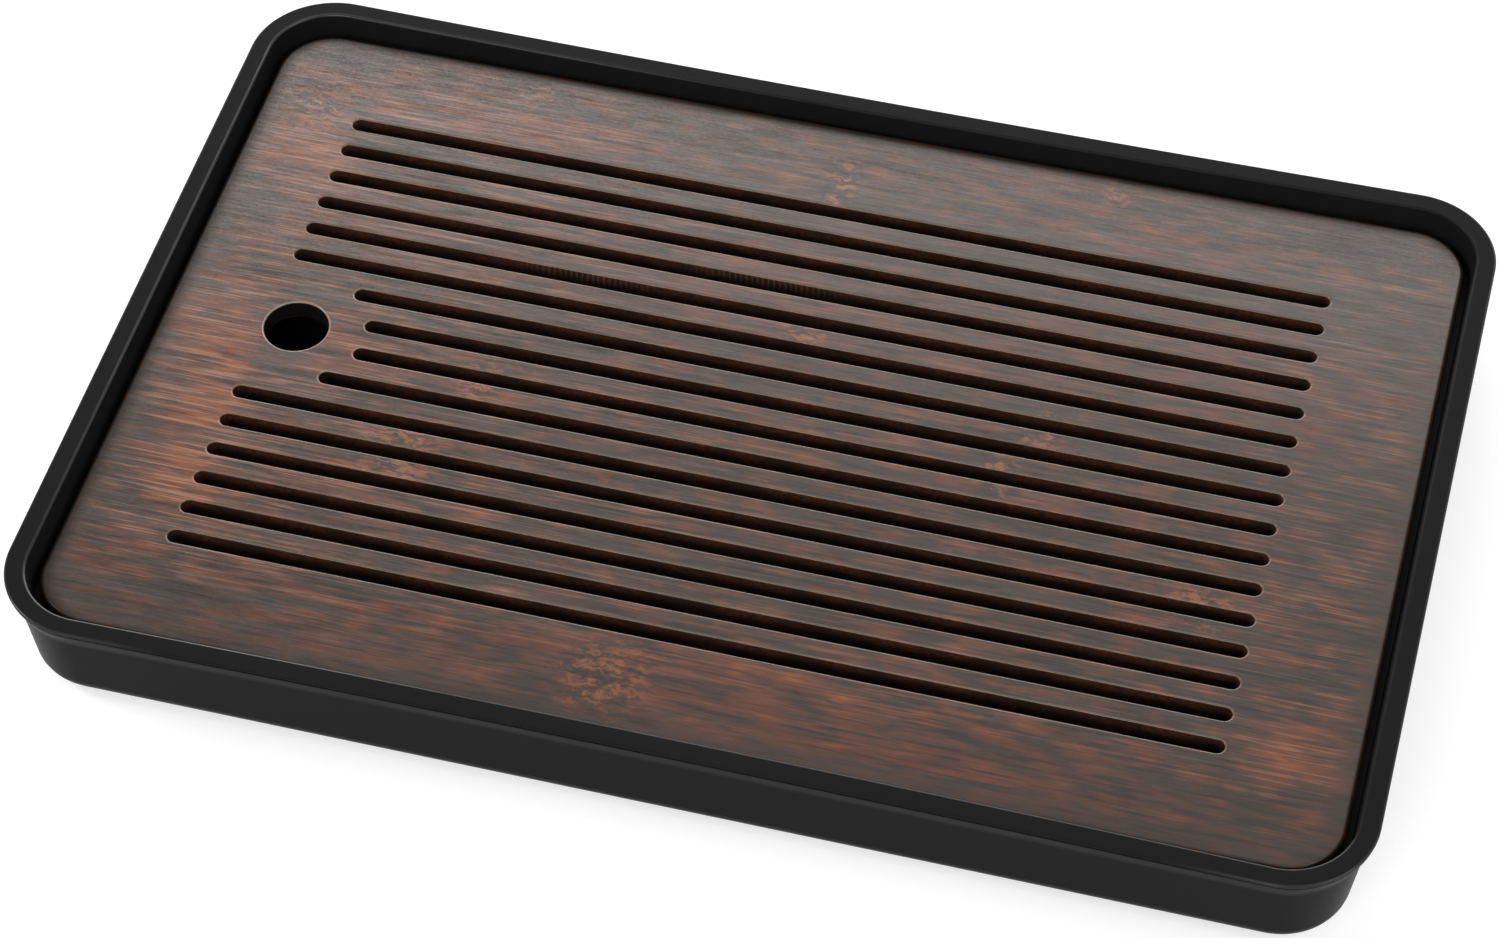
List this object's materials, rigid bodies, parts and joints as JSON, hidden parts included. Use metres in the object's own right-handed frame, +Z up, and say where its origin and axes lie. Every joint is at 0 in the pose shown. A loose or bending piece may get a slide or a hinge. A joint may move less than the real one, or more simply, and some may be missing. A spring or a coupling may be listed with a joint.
{
  "type": "bamboo tea tray",
  "caption": "Rectangular tea tray: a slotted dark bamboo board with a finger hole lies loose in a black moulded basin that catches waste tea.",
  "frame": {"origin": "on the table under the middle of the tray, level with the bottoms of the feet", "axes": "+X along the long side, away from the end with the finger hole; +Y across to the back; +Z up"},
  "size_m": [0.365, 0.245, 0.0332],
  "materials": {
    "black_moulding": "satin",
    "dark_bamboo": "satin lacquer",
    "batten_bamboo": "sanded",
    "screw_steel": "plain",
    "foot_rubber": "matte"
  },
  "bodies": {
    "basin": {"drip_basin": "black_moulding", "foot_front_left": "foot_rubber", "foot_front_right": "foot_rubber", "foot_back_left": "foot_rubber", "foot_back_right": "foot_rubber"},
    "board": {"slat_board": "dark_bamboo", "batten_left": "batten_bamboo", "batten_middle": "batten_bamboo", "batten_right": "batten_bamboo", "screw_left_front": "screw_steel", "screw_left_back": "screw_steel", "screw_middle_front": "screw_steel", "screw_middle_back": "screw_steel", "screw_right_front": "screw_steel", "screw_right_back": "screw_steel"}
  },
  "joints": [
    {"name": "board_lift", "type": "slide", "parent": "basin", "child": "board", "axis": [0, 0, 1], "range_m": [0, 0.06]}
  ]
}
